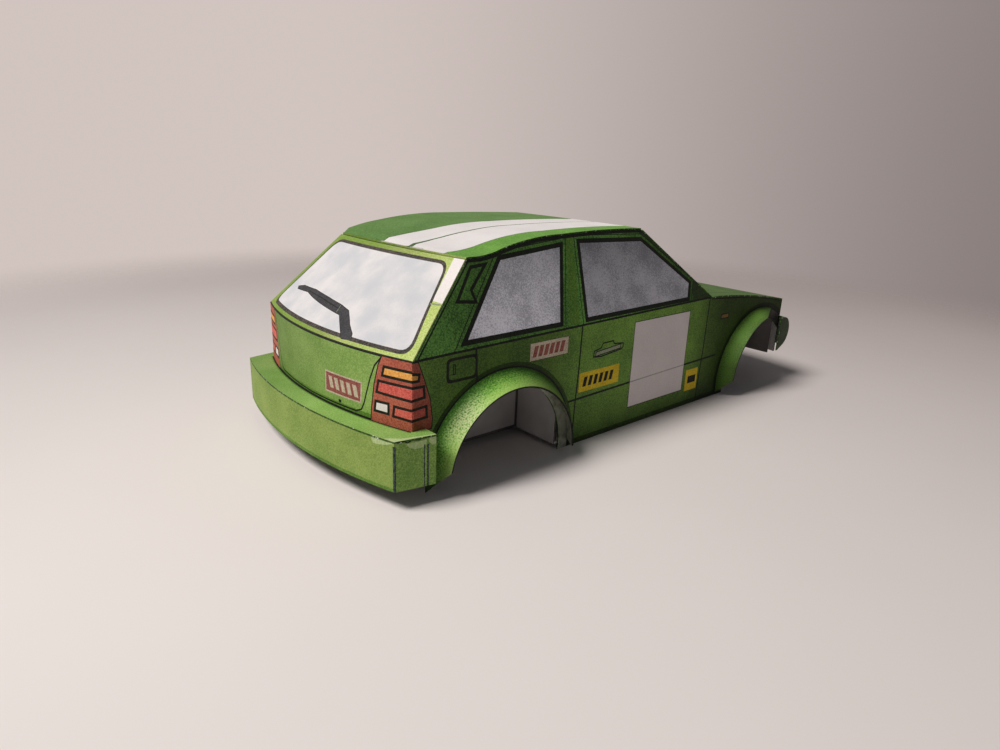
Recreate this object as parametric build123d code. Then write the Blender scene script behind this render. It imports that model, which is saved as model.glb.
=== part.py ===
from build123d import *
import math
import os

os.makedirs("parts", exist_ok=True)

# A paper model of a three-door racing hatchback: a body shell cut and folded from printed card.
# Millimetres, +X towards the nose, +Y to the car's left, +Z up, origin at the middle of the footprint.
# Stations along the car are measured forward from the corner folds of the rear bumper.

# Card
CARD = 0.25

# Body width and the belt line, where the sides fold inwards
BODY_HALF = 19.15
BELT_REAR_Z = 17.7
BELT_FRONT_Z = 18.6
TUMBLEHOME = 21.1
SILL_Z = 0.0

# Tail: upright bowed panel below the belt, sloped bowed window panel above it
TAIL_CORNER = 3.35
TAIL_BOW = 3.25
TAIL_SKIRT_Z = 2.5
WINDOW_TOP_BOW = 0.6

# Roof: its line over the right side dips into a ducktail; over the left side it is one crown
# whose rear edge turns down
ROOF_REAR = 14.2
ROOF_FRONT = 49.6
WINDOW_TOP_Z = 28.35
SCREEN_TOP_Z = 30.4
ROOF_RIGHT = dict(rear=28.5, turn=(14.9, 28.42), dip=(17.4, 28.4), dip_end=(20.2, 28.95),
                  rise=(24.0, 29.71), middle=(31.7, 30.32), crown=(40.2, 30.59), front=30.43)
ROOF_LEFT = dict(rear=28.15, turn=(14.9, 28.95), dip=(17.0, 29.62), dip_end=(20.2, 30.18),
                 rise=(24.0, 30.62), middle=(31.7, 30.84), crown=(40.2, 30.56), front=30.15)

# Windscreen, bonnet and nose
SCREEN_BASE = 65.0
SCREEN_BASE_BOW = 2.0
SCREEN_TOP_BOW = 0.6
BONNET_RISE = 0.45
NOSE_CORNER = 89.9
NOSE_CORNER_Z = 15.1
NOSE_BOW = 2.5
NOSE_SKIRT_Z = 5.0

# Rear bumper: a bowed upright face, two folded ends and a shelf that reaches back to the body
REAR_BUMPER = dict(fold=0.0, bow=-3.0, half=20.4, ends=5.3, ends_half=21.4, low=2.5, high=9.0)

# Front bumper: a bowed face rolled round from its top edge to its lip, with two flat ends
FRONT_BUMPER = dict(fold=92.0, bow=2.8, half=20.4, ends=87.4, ends_half=20.9, low=5.9, high=12.25)
FRONT_ROLL = dict(radius=2.85, lip_angle=-75.0)

# Wheel arches: a cone of card stands on the body side and narrows outwards to its lip
FLARE_REACH = 2.85
FOOT_LANDING = 2.0
REAR_ARCH = dict(axle=18.1, axle_z=1.4, foot=12.85, lip=11.0)
FRONT_ARCH = dict(axle=82.4, axle_z=2.2, foot=12.6, lip=11.6)

# Ends of a flare, at its foot and at its lip: heights where its legs end, and the stations along
# which the front flare tapers out behind the bumper
REAR_LEGS = dict(rear=(0.3, 3.5), front=(0.4, 1.5))
FRONT_LEGS = dict(rear=(0.4, 3.2), front=(0.4, 3.2))
FRONT_TAPER = (86.3, 79.8)

# Wheel wells: a wall along the car with a bulkhead at each end, open above and below
WELL_INNER = 10.5
WELL_TOP_Z = 13.0
FLOOR_Z = 0.9
REAR_WELL = dict(back=8.0, front=28.4, back_low=2.5, front_low=FLOOR_Z)
FRONT_WELL = dict(back=72.2, front=87.8, back_low=FLOOR_Z, front_low=NOSE_SKIRT_Z)

# Reach of the cutting shapes: past the body, past a corner fold and over the roof
BEYOND = 30.0
CORNER_MARGIN = 1.0
ABOVE_ROOF = 1.2

REARMOST = REAR_BUMPER["fold"] + REAR_BUMPER["bow"]
FOREMOST = FRONT_BUMPER["fold"] + FRONT_BUMPER["bow"]
MIDDLE = (REARMOST + FOREMOST) / 2

TUMBLE = math.tan(math.radians(TUMBLEHOME))
BELT_RISE = (BELT_FRONT_Z - BELT_REAR_Z) / (SCREEN_BASE - TAIL_CORNER)
WINDOW_LEAN = (ROOF_REAR - TAIL_CORNER) / (WINDOW_TOP_Z - BELT_REAR_Z)
SCREEN_LEAN = (ROOF_FRONT - SCREEN_BASE) / (SCREEN_TOP_Z - BELT_FRONT_Z)
ROOF_TOP_Z = max(line[point][1] for line in (ROOF_RIGHT, ROOF_LEFT) for point in ("middle", "crown"))


def at(station):
    """Distance along X of a station."""
    return station - MIDDLE


def bowed_region(corner, bow, half, far, z):
    """Flat region from an edge bowed between the corner folds to a straight edge at station far."""
    x, out = at(corner), half + CORNER_MARGIN
    bowed_edge = ThreePointArc((x, -half), (at(corner + bow), 0), (x, half))
    rest = Polyline((x, half), (x, out), (at(far), out), (at(far), -out), (x, -out), (x, -half))
    return Pos(0, 0, z) * make_face(bowed_edge + rest)


def slab(outline):
    """Side outline in stations and heights, drawn right across the car."""
    return extrude(Plane.XZ * make_face(outline), amount=BODY_HALF + BEYOND, both=True)


def box_between(low, high):
    """Box from its low corner to its high corner."""
    size = [b - a for a, b in zip(low, high)]
    return Pos(*low) * Box(*size, align=(Align.MIN, Align.MIN, Align.MIN))


def cross_sections(inset):
    """Body block with upright sides that lean in above the belt, drawn in by inset."""
    faces = []
    for station in (REARMOST - BEYOND, FOREMOST + BEYOND):
        belt = BELT_REAR_Z + BELT_RISE * (station - TAIL_CORNER)
        top = ROOF_TOP_Z + ABOVE_ROOF
        half = BODY_HALF - inset
        left = [(half, -BEYOND), (half, belt), (half - TUMBLE * (top - belt), top)]
        right = [(-y, z) for y, z in reversed(left)]
        plane = Plane(origin=(at(station), 0, 0), x_dir=(0, 1, 0), z_dir=(1, 0, 0))
        faces.append(plane * make_face(Polyline(*left, *right, close=True)))
    return loft(faces, ruled=True)


def window_region(base, base_z, lean, top_z, base_bow, top_bow, edge_z, far, inset):
    """Everything outside a leaning bowed window, drawn in by inset measured square to the card."""
    shift = math.copysign(inset * math.hypot(1, lean), lean)
    bow_rate = (top_bow - base_bow) / (edge_z - base_z)
    faces = []
    for z in (base_z, top_z):
        rise = z - base_z
        corner = base + lean * rise + shift
        faces.append(bowed_region(corner, base_bow + bow_rate * rise, BODY_HALF - TUMBLE * rise, far, z))
    return loft(faces, ruled=True)


def rear_window_region(inset):
    return window_region(
        TAIL_CORNER, BELT_REAR_Z, WINDOW_LEAN, WINDOW_TOP_Z + ABOVE_ROOF,
        -TAIL_BOW, -WINDOW_TOP_BOW, WINDOW_TOP_Z, REARMOST - BEYOND, inset,
    )


def screen_region(inset):
    return window_region(
        SCREEN_BASE, BELT_FRONT_Z, SCREEN_LEAN, SCREEN_TOP_Z + ABOVE_ROOF,
        SCREEN_BASE_BOW, SCREEN_TOP_BOW, SCREEN_TOP_Z, FOREMOST + BEYOND, inset,
    )


def upright_region(corner, bow, far):
    """Everything beyond an upright bowed panel, from below the sills to above the belt."""
    return extrude(bowed_region(corner, bow, BODY_HALF, far, -BEYOND), amount=ROOF_TOP_Z + BEYOND)


def arch_cylinder(arch, radius):
    """Round cutter across the car at a wheel arch."""
    cutter = Cylinder(radius, 2 * (BODY_HALF + BEYOND), rotation=(90, 0, 0))
    return Pos(at(arch["axle"]), 0, arch["axle_z"]) * cutter


# Side outlines of the cabin and of the body below the belt
BELT_LINE = [
    (at(REARMOST - BEYOND), BELT_REAR_Z),
    (at(TAIL_CORNER), BELT_REAR_Z),
    (at(SCREEN_BASE), BELT_FRONT_Z),
    (at(SCREEN_BASE + SCREEN_BASE_BOW), BELT_FRONT_Z),
]


def cabin_outline(line, y):
    """Side outline of the cabin under one line of the roof, drawn at y."""
    behind, ahead = BELT_LINE[0][0], at(FOREMOST)
    rear, front = (at(ROOF_REAR), line["rear"]), (at(ROOF_FRONT), line["front"])
    turn, dip, dip_end, rise, middle, crown = (
        (at(line[point][0]), line[point][1])
        for point in ("turn", "dip", "dip_end", "rise", "middle", "crown")
    )
    outline = Polyline(*BELT_LINE, (ahead, BELT_FRONT_Z), (ahead, front[1]), front)
    outline += ThreePointArc(front, crown, middle) + ThreePointArc(middle, rise, dip_end)
    outline += ThreePointArc(dip_end, dip, turn) + Polyline(turn, rear, (behind, rear[1]), BELT_LINE[0])
    return Plane.XZ.offset(-y) * make_face(outline)


cabin_side = BODY_HALF + CORNER_MARGIN
cabin_ends = [cabin_outline(ROOF_RIGHT, -cabin_side), cabin_outline(ROOF_LEFT, cabin_side)]
cabin_slab = loft(cabin_ends, ruled=True)
bonnet_back = BELT_LINE[-1]
bonnet_end = (at(NOSE_CORNER + NOSE_BOW), NOSE_CORNER_Z)
bonnet_middle = ((bonnet_back[0] + bonnet_end[0]) / 2, (bonnet_back[1] + bonnet_end[1]) / 2 + BONNET_RISE)
lower_slab = slab(
    Polyline(*BELT_LINE)
    + ThreePointArc(bonnet_back, bonnet_middle, bonnet_end)
    + Polyline(bonnet_end, (bonnet_end[0], -BEYOND), (BELT_LINE[0][0], -BEYOND), BELT_LINE[0])
)

# Cabin panels
outer_block = cross_sections(0)
inner_block = cross_sections(CARD)
cabin = (outer_block & cabin_slab) - rear_window_region(0) - screen_region(0)
roof = cabin - Pos(0, 0, -CARD) * cabin_slab
under_roof = cabin & Pos(0, 0, -CARD) * cabin_slab
rear_window_panel = under_roof & rear_window_region(CARD)
windscreen_panel = under_roof & screen_region(CARD)
cabin_sides = under_roof - rear_window_region(CARD) - screen_region(CARD) - inner_block

# Panels below the belt
tail = upright_region(TAIL_CORNER, -TAIL_BOW, REARMOST - BEYOND)
nose = upright_region(NOSE_CORNER, NOSE_BOW, FOREMOST + BEYOND)
lower = (outer_block & lower_slab) - tail - nose
cabin_floor_area = upright_region(SCREEN_BASE, SCREEN_BASE_BOW, REARMOST - BEYOND)
bonnet = lower - Pos(0, 0, -CARD) * lower_slab - cabin_floor_area
under_bonnet = lower - bonnet
tail_layer = Pos(CARD, 0, 0) * tail
nose_layer = Pos(-CARD, 0, 0) * nose
far = BODY_HALF + BEYOND


def between_stations(back, front, low, high):
    """Box right across the car between two stations and two heights."""
    return box_between((at(back), -far, low), (at(front), far, high))


rear_panel = (under_bonnet & tail_layer) - between_stations(REARMOST, FOREMOST, -far, TAIL_SKIRT_Z)
front_panel = (under_bonnet & nose_layer) - between_stations(REARMOST, FOREMOST, -far, NOSE_SKIRT_Z)
body_sides = under_bonnet - tail_layer - nose_layer - inner_block
for arch in (REAR_ARCH, FRONT_ARCH):
    body_sides -= arch_cylinder(arch, arch["foot"] - FOOT_LANDING)
for back, front, low in (
    (REARMOST, FOREMOST, SILL_Z),
    (REARMOST, REAR_ARCH["axle"], TAIL_SKIRT_Z),
    (FRONT_ARCH["axle"], FOREMOST, NOSE_SKIRT_Z),
):
    body_sides -= between_stations(back, front, -far, low)


def bumper_outline(bumper, inset):
    """Plan of a bumper: bowed face between the folds and two ends that splay towards the wheel."""
    back = math.copysign(inset, -bumper["bow"])
    fold = at(bumper["fold"]) + back
    half = bumper["half"] - inset
    ends = at(bumper["ends"]) + (back if inset else 0)
    ends_half = bumper["ends_half"] - inset
    face_edge = ThreePointArc((fold, -half), (fold + bumper["bow"], 0), (fold, half))
    rest = Polyline((fold, half), (ends, ends_half), (ends, -ends_half), (fold, -half))
    return make_face(face_edge + rest)


def bumper_block(bumper, inset):
    """Solid inside a bumper's plan; drawn in by inset it is open below and behind."""
    low = bumper["low"] - (BEYOND if inset else 0)
    return extrude(Pos(0, 0, low) * bumper_outline(bumper, inset), amount=bumper["high"] - inset - low)


def rolled_nose(bumper, roll, inset):
    """The bumper's rolled section turned about the centre of its bow, as one solid."""
    bow_radius = (bumper["half"] ** 2 + bumper["bow"] ** 2) / (2 * bumper["bow"])
    radius = roll["radius"]
    centre_x, centre_z = bow_radius - radius, bumper["high"] - radius
    lip = math.radians(roll["lip_angle"])

    def around(angle):
        reach = radius - inset
        return (centre_x + reach * math.cos(angle), centre_z + reach * math.sin(angle))

    top = around(math.pi / 2)
    rolled = ThreePointArc(top, around((math.pi / 2 + lip) / 2), around(lip))
    low = bumper["low"] - (BEYOND if inset else 0)
    back = bow_radius - (bumper["fold"] - bumper["ends"])
    inside = back - BEYOND
    rest = Polyline(around(lip), (back, low), (inside, low), (inside, top[1]), top)
    turned = revolve(Plane.XZ * make_face(rolled + rest), axis=Axis.Z)
    return Pos(at(bumper["fold"] + bumper["bow"]) - bow_radius, 0, 0) * turned


body_plan = box_between((at(REARMOST), -BODY_HALF, 0), (at(FOREMOST), BODY_HALF, far)) - tail - nose
rear_bumper = bumper_block(REAR_BUMPER, 0) - bumper_block(REAR_BUMPER, CARD) - body_plan
front_outside = bumper_block(FRONT_BUMPER, 0) & rolled_nose(FRONT_BUMPER, FRONT_ROLL, 0)
front_inside = bumper_block(FRONT_BUMPER, CARD) & rolled_nose(FRONT_BUMPER, FRONT_ROLL, CARD)
front_bumper = front_outside - front_inside - body_plan


def sloped(foot, lip):
    """A size that changes from the foot to the lip of a flare, as points a margin beyond both."""
    slope = (lip - foot) / FLARE_REACH
    inner, outer = BODY_HALF - CORNER_MARGIN, BODY_HALF + FLARE_REACH + CORNER_MARGIN
    return (inner, foot - slope * CORNER_MARGIN), (outer, lip + slope * CORNER_MARGIN)


def leg_cut(start, end, heights):
    """Everything below the sloped end of a flare's leg, between two places along X."""
    inner, outer = sloped(*heights)
    outline = Polyline(inner, outer, (outer[0], -BEYOND), (inner[0], -BEYOND), close=True)
    plane = Plane(origin=(start, 0, 0), x_dir=(0, 1, 0), z_dir=(1, 0, 0))
    return extrude(plane * make_face(outline), amount=end - start)


def taper_cut(stations, reach):
    """Everything ahead of the line along which a flare tapers out."""
    (inner, foot), (outer, lip) = sloped(at(stations[0]), at(stations[1]))
    ahead = max(foot, lip) + reach
    outline = Polyline((foot, inner), (lip, outer), (ahead, outer), (ahead, inner), close=True)
    return extrude(Pos(0, 0, -reach) * make_face(outline), amount=2 * reach)


def make_flare(arch, legs, taper, side):
    """Cone of card on the body side, open below between its two legs."""
    wall = CARD * math.hypot(1, (arch["foot"] - arch["lip"]) / FLARE_REACH)
    ring = [
        (arch["foot"], BODY_HALF),
        (arch["lip"], BODY_HALF + FLARE_REACH),
        (arch["lip"] - wall, BODY_HALF + FLARE_REACH),
        (arch["foot"] - wall, BODY_HALF),
    ]
    cone = revolve(make_face(Polyline(*ring, close=True)), axis=Axis.Y)
    cone = Pos(at(arch["axle"]), 0, arch["axle_z"]) * cone
    reach = arch["foot"] + BEYOND
    axle = at(arch["axle"])
    flare = cone - leg_cut(axle - reach, axle, legs["rear"]) - leg_cut(axle, axle + reach, legs["front"])
    if taper:
        flare -= taper_cut(taper, reach)
    return flare if side > 0 else mirror(flare, about=Plane.XZ)


def make_well(well, side):
    """Wheel-well liner: a wall along the car and two bulkheads that reach out to the body side."""
    back, front = at(well["back"]), at(well["front"])
    outer = BODY_HALF - CARD
    plan = Polyline(
        (back, outer), (back, WELL_INNER), (front, WELL_INNER), (front, outer),
        (front - CARD, outer), (front - CARD, WELL_INNER + CARD),
        (back + CARD, WELL_INNER + CARD), (back + CARD, outer), close=True,
    )
    liner = extrude(Pos(0, 0, FLOOR_Z) * make_face(plan), amount=WELL_TOP_Z - FLOOR_Z)
    for low, start, end in (
        (well["back_low"], back, back + CARD),
        (well["front_low"], front - CARD, front),
    ):
        if low > FLOOR_Z:
            liner -= box_between((start, WELL_INNER + CARD, 0), (end, far, low))
    return liner if side > 0 else mirror(liner, about=Plane.XZ)


def make_floor():
    """Floor pan: full width between the wheels and narrow between the wheel wells."""
    wide = BODY_HALF - CARD
    tail_end = at(TAIL_CORNER) + CARD
    nose_end = at(FRONT_WELL["front"])
    wells = (at(REAR_WELL["front"]), at(FRONT_WELL["back"]))
    right = [
        (tail_end, -WELL_INNER), (wells[0], -WELL_INNER), (wells[0], -wide),
        (wells[1], -wide), (wells[1], -WELL_INNER), (nose_end, -WELL_INNER),
    ]
    left = [(x, -y) for x, y in reversed(right)]
    pan = make_face(Polyline(*right, *left, close=True))
    return extrude(Pos(0, 0, FLOOR_Z) * pan, amount=CARD)


def half_of(shape, side):
    """The solid of a mirrored pair that lies on one side of the car."""
    return next(solid for solid in shape.solids() if solid.center().Y * side > 0)


nodes = {
    "roof": roof,
    "rear_window_panel": rear_window_panel,
    "windscreen_panel": windscreen_panel,
    "rear_panel": rear_panel,
    "front_panel": front_panel,
    "bonnet": bonnet,
    "rear_bumper": rear_bumper,
    "front_bumper": front_bumper,
    "floor_pan": make_floor(),
}
for name, side in (("left", 1), ("right", -1)):
    nodes[f"cabin_side_{name}"] = half_of(cabin_sides, side)
    nodes[f"body_side_{name}"] = half_of(body_sides, side)
    nodes[f"rear_flare_{name}"] = make_flare(REAR_ARCH, REAR_LEGS, None, side)
    nodes[f"front_flare_{name}"] = make_flare(FRONT_ARCH, FRONT_LEGS, FRONT_TAPER, side)
    nodes[f"rear_wheel_well_{name}"] = make_well(REAR_WELL, side)
    nodes[f"front_wheel_well_{name}"] = make_well(FRONT_WELL, side)

for name, shape in nodes.items():
    export_step(shape, f"parts/{name}.step")
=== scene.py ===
import bpy
import math
from mathutils import Matrix, Vector
from mathutils.geometry import delaunay_2d_cdt


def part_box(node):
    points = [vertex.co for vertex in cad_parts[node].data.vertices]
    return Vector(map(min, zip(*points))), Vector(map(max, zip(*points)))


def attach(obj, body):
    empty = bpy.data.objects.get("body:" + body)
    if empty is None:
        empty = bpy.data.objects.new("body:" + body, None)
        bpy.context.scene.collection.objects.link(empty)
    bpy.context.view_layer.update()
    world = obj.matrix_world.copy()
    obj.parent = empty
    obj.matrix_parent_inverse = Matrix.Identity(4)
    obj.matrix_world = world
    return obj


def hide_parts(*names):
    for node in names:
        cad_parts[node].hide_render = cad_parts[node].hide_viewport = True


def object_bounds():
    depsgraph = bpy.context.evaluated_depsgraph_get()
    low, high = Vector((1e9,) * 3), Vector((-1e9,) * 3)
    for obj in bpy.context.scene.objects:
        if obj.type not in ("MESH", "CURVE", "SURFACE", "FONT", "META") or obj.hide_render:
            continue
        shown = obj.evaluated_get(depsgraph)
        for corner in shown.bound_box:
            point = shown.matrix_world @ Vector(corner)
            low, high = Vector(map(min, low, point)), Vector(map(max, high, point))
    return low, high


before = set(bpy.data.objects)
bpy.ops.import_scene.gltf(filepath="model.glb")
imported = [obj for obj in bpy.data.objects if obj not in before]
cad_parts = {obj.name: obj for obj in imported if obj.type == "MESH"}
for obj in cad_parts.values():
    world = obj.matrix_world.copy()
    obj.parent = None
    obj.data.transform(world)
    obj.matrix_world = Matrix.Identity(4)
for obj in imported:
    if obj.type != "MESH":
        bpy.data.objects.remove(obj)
cad_low, cad_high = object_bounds()


# The table is a broad sheet of pale card. One lamp stands high behind the tail and throws the
# shadow forward, light from all round fills the side that faces the camera. The table carries a
# painted pool of light, bright near the car and darker further off, and the backdrop is painted
# darker towards the right as painted shade.
MM = 0.001
TABLE_COLOUR = (0.92, 0.87, 0.84, 1.0)
TABLE_PAINTED_SHADE_COLOUR = (0.3, 0.26, 0.25, 1.0)
TABLE_LIGHT_POOL_CENTRE = (-90.0, -10.0, 0.0)
TABLE_LIGHT_POOL_FALLOFF = (-60.0, 280.0)
TABLE_ENDS = (120.0, 195.0)
TABLE_REACH = 0.25
TABLE_GLOSS = 0.2
BACKDROP_LEFT = (0.64, 0.555, 0.525, 1.0)
BACKDROP_RIGHT = (0.205, 0.17, 0.165, 1.0)
BACKDROP_TURNS = (-0.3, 0.8)
FILL_COLOUR = (0.108, 0.113, 0.12, 1.0)
LAMP_FROM = (-0.62, 0.23, 1.0)
LAMP_COLOUR = (1.0, 0.95, 0.92)
LAMP_STRENGTH = 3.2
LAMP_WIDTH = math.radians(24.0)
CAMERA_PLACE = (-86.84, -83.94, 41.98)
CAMERA_YAW = math.radians(48.155)
CAMERA_PITCH = math.radians(18.067)
CAMERA_ROLL = math.radians(2.188)
CAMERA_LENS = 25.4
CAMERA_SENSOR = 36.0
CAMERA_NEAR = 0.005


class Tone:
    """A socket of a node tree. Operators on tones add Math nodes, add() makes any other node."""

    def __init__(self, tree, socket=None):
        self.tree = tree
        self.socket = socket

    def add(self, kind, settings=None, sockets=None, output=0):
        node = self.tree.nodes.new(kind)
        for key, value in (settings or {}).items():
            if key == "stops":
                ramp = node.color_ramp
                while len(ramp.elements) < len(value):
                    ramp.elements.new(1.0)
                for element, (position, colour) in zip(ramp.elements, value):
                    element.position = position
                    element.color = (*colour, 1.0)
            else:
                setattr(node, key, value)
        for key, value in (sockets or {}).items():
            if isinstance(value, Tone):
                self.tree.links.new(value.socket, node.inputs[key])
            else:
                node.inputs[key].default_value = value
        return Tone(self.tree, node.outputs[output])

    def math(self, operation, first, second):
        return self.add("ShaderNodeMath", {"operation": operation}, {0: first, 1: second})

    def __add__(self, other):
        return self.math("ADD", self, other)

    __radd__ = __add__

    def __sub__(self, other):
        return self.math("SUBTRACT", self, other)

    def __rsub__(self, other):
        return self.math("SUBTRACT", other, self)

    def __mul__(self, other):
        return self.math("MULTIPLY", self, other)

    __rmul__ = __mul__

    def noise(self, place, size, detail=2.0):
        """Soft noise whose patches are about size millimetres across, from 0 to 1."""
        sockets = {"Vector": place, "Scale": 1.0 / size, "Detail": detail}
        return self.add("ShaderNodeTexNoise", {}, sockets)

    def between(self, low, high):
        """0 below low, 1 above high and a smooth step between them."""
        sockets = {"Value": self, "From Min": low, "From Max": high}
        return self.add("ShaderNodeMapRange", {"interpolation_type": "SMOOTHSTEP"}, sockets)

    def mix(self, first, second):
        """Colour between first and second, with this tone as the share of the second."""
        return self.add("ShaderNodeMix", {"data_type": "RGBA"}, {0: self, 6: first, 7: second}, output=2)

    def scaled(self, colour):
        """A colour times this tone."""
        return self.add("ShaderNodeVectorMath", {"operation": "SCALE"}, {0: colour, "Scale": self})


def new_finish(name):
    """A material, its shader, and the piece's own place in millimetres as a tone."""
    material = bpy.data.materials.new(name)
    material.use_nodes = True
    tree = material.node_tree
    place = Tone(tree).add("ShaderNodeTexCoord", output="Object")
    place = place.add("ShaderNodeVectorMath", {"operation": "SCALE"}, {0: place, "Scale": 1 / MM})
    return material, tree.nodes["Principled BSDF"], place


def wire(tone, shader, socket):
    tone.tree.links.new(tone.socket, shader.inputs[socket])


table_card, shader, place = new_finish("table_card")
# Painted light: the table is brighter round a pool near the tail and darker further away.
pool_distance = place.add(
    "ShaderNodeVectorMath", {"operation": "DISTANCE"}, {0: place, 1: TABLE_LIGHT_POOL_CENTRE}, output="Value",
)
painted_light_pool = pool_distance.between(*TABLE_LIGHT_POOL_FALLOFF).mix(TABLE_COLOUR, TABLE_PAINTED_SHADE_COLOUR)
wire((0.97 + 0.06 * place.noise(place, 40.0)).scaled(painted_light_pool), shader, "Base Color")
distance = place.add("ShaderNodeVectorMath", {"operation": "LENGTH"}, {0: place}, output="Value")
wire(1 - distance.between(*TABLE_ENDS), shader, "Alpha")
wire(0.55 + 0.2 * place.noise(place, 3.0), shader, "Roughness")
shader.inputs["Specular IOR Level"].default_value = TABLE_GLOSS
table_mesh = bpy.data.meshes.new("table")
corners = [(-TABLE_REACH, -TABLE_REACH, 0), (TABLE_REACH, -TABLE_REACH, 0)]
corners += [(TABLE_REACH, TABLE_REACH, 0), (-TABLE_REACH, TABLE_REACH, 0)]
table_mesh.from_pydata(corners, [], [(0, 1, 2, 3)])
table_mesh.materials.append(table_card)
table = bpy.data.objects.new("table", table_mesh)
bpy.context.scene.collection.objects.link(table)

world = bpy.data.worlds.new("studio")
bpy.context.scene.world = world
world.use_nodes = True
rays = Tone(world.node_tree)
shown = rays.add("ShaderNodeLightPath", output="Is Camera Ray")
for ray_kind in ("Is Glossy Ray", "Is Transmission Ray"):
    shown = shown.math("MAXIMUM", shown, rays.add("ShaderNodeLightPath", output=ray_kind))
# Painted shade: the backdrop seen by camera and glossy rays darkens from left to right.
facing = rays.add("ShaderNodeTexCoord", output="Generated")
aside = {0: facing, 1: (math.sin(CAMERA_YAW), -math.cos(CAMERA_YAW), 0.0)}
aside = rays.add("ShaderNodeVectorMath", {"operation": "DOT_PRODUCT"}, aside, output="Value")
backdrop = aside.between(*BACKDROP_TURNS).mix(BACKDROP_LEFT, BACKDROP_RIGHT)
wire(shown.mix(FILL_COLOUR, backdrop), world.node_tree.nodes["Background"], "Color")

lamp_data = bpy.data.lights.new("tail_lamp", "SUN")
lamp_data.color = LAMP_COLOUR
lamp_data.energy = LAMP_STRENGTH
lamp_data.angle = LAMP_WIDTH
lamp = bpy.data.objects.new("tail_lamp", lamp_data)
lamp.rotation_euler = Vector(LAMP_FROM).to_track_quat("Z", "Y").to_euler()
bpy.context.scene.collection.objects.link(lamp)

camera_data = bpy.data.cameras.new("camera")
camera_data.sensor_fit = "HORIZONTAL"
camera_data.sensor_width = CAMERA_SENSOR
camera_data.lens = CAMERA_LENS
camera_data.clip_start = CAMERA_NEAR
camera = bpy.data.objects.new("camera", camera_data)
aim = Matrix.Rotation(CAMERA_YAW - math.pi / 2, 4, "Z")
aim = aim @ Matrix.Rotation(math.pi / 2 - CAMERA_PITCH, 4, "X")
aim = aim @ Matrix.Rotation(CAMERA_ROLL, 4, "Z")
camera.matrix_world = Matrix.Translation(Vector(CAMERA_PLACE) * MM) @ aim
bpy.context.scene.collection.objects.link(camera)
bpy.context.scene.camera = camera
bpy.context.scene.view_settings.view_transform = "Standard"


# The floor pan is plain white card, glued in behind the printed skin between the wheel wells. It
# shows from below.
BOARD_GLOSS = 0.25


def with_alpha(colour):
    return (*colour, 1.0)


def card_tooth(shader, place, strength):
    """The fine felt of the card, as bump."""
    felt = place.noise(place, 0.16, 3.0) + 0.6 * place.noise(place, 0.7, 2.0)
    sockets = {"Height": felt, "Strength": strength, "Distance": 0.02 * MM}
    wire(place.add("ShaderNodeBump", {}, sockets), shader, "Normal")


def plain_board(name, shadow, light, rough):
    """Unprinted card: matt, and slightly uneven in tone."""
    material, shader, place = new_finish(name)
    cloud = place.noise(place, 6.0, 3.0)
    wire(cloud.between(0.25, 0.75).mix(with_alpha(shadow), with_alpha(light)), shader, "Base Color")
    wire(rough + 0.048 * cloud, shader, "Roughness")
    shader.inputs["Specular IOR Level"].default_value = BOARD_GLOSS
    card_tooth(shader, place, 0.35)
    return material


white_card = plain_board("white_card", (0.7, 0.68, 0.66), (0.82, 0.8, 0.79), 0.7)
for material_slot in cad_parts["floor_pan"].material_slots:
    material_slot.material = white_card


# The body sides are two flat sheets of card below the belt fold, with the wheel arches cut out.
# Doors, flaps, lamps and stickers are all printed: every printed edge is an edge of the mesh. The
# cut edges are coloured in dark green, worn through to the card in places.
CARD = 0.25
REARMOST = -3.0
BODY_HALF = -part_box("body_side_right")[0].y / MM
TAIL, BELT_REAR = 3.35, 17.7
SCREEN, BELT_FRONT = 65.0, 18.6
BONNET_ARC = ((67.0, 18.6), (79.7, 17.3), (92.4, 15.1))
NOSE = 89.9
TAIL_SKIRT = 2.5
REAR_AXLE, FRONT_AXLE = (18.1, 1.4), (82.4, 2.2)
REAR_FOOT, FRONT_FOOT = 12.85, 12.6
FOOT_LANDING = 2.0
INK_GLOSS = 0.16
BARE_CARD = (0.72, 0.74, 0.66, 1.0)
SNAP = 0.0005
NEAR_BY = 0.01
FOLD_ANGLE = math.radians(28.0)


def frame_point(station, y, z):
    """Stations count forward from the rear bumper's folds, in mm; the frame is in metres."""
    return (cad_low.x + (station - REARMOST) * MM, y * MM, z * MM)


def faded(along, pairs):
    """A tone that follows pairs of a place and a factor, or of a place and a tint."""
    first, last = pairs[0][0], pairs[-1][0]
    run = along.add("ShaderNodeMapRange", {}, {"Value": along, "From Min": first, "From Max": last})
    stops = []
    for at, tint in pairs:
        colour = tint if isinstance(tint, tuple) else (tint,) * 3
        stops.append(((at - first) / (last - first), colour))
    return along.add("ShaderNodeValToRGB", {"stops": stops}, {"Fac": run})


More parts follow.
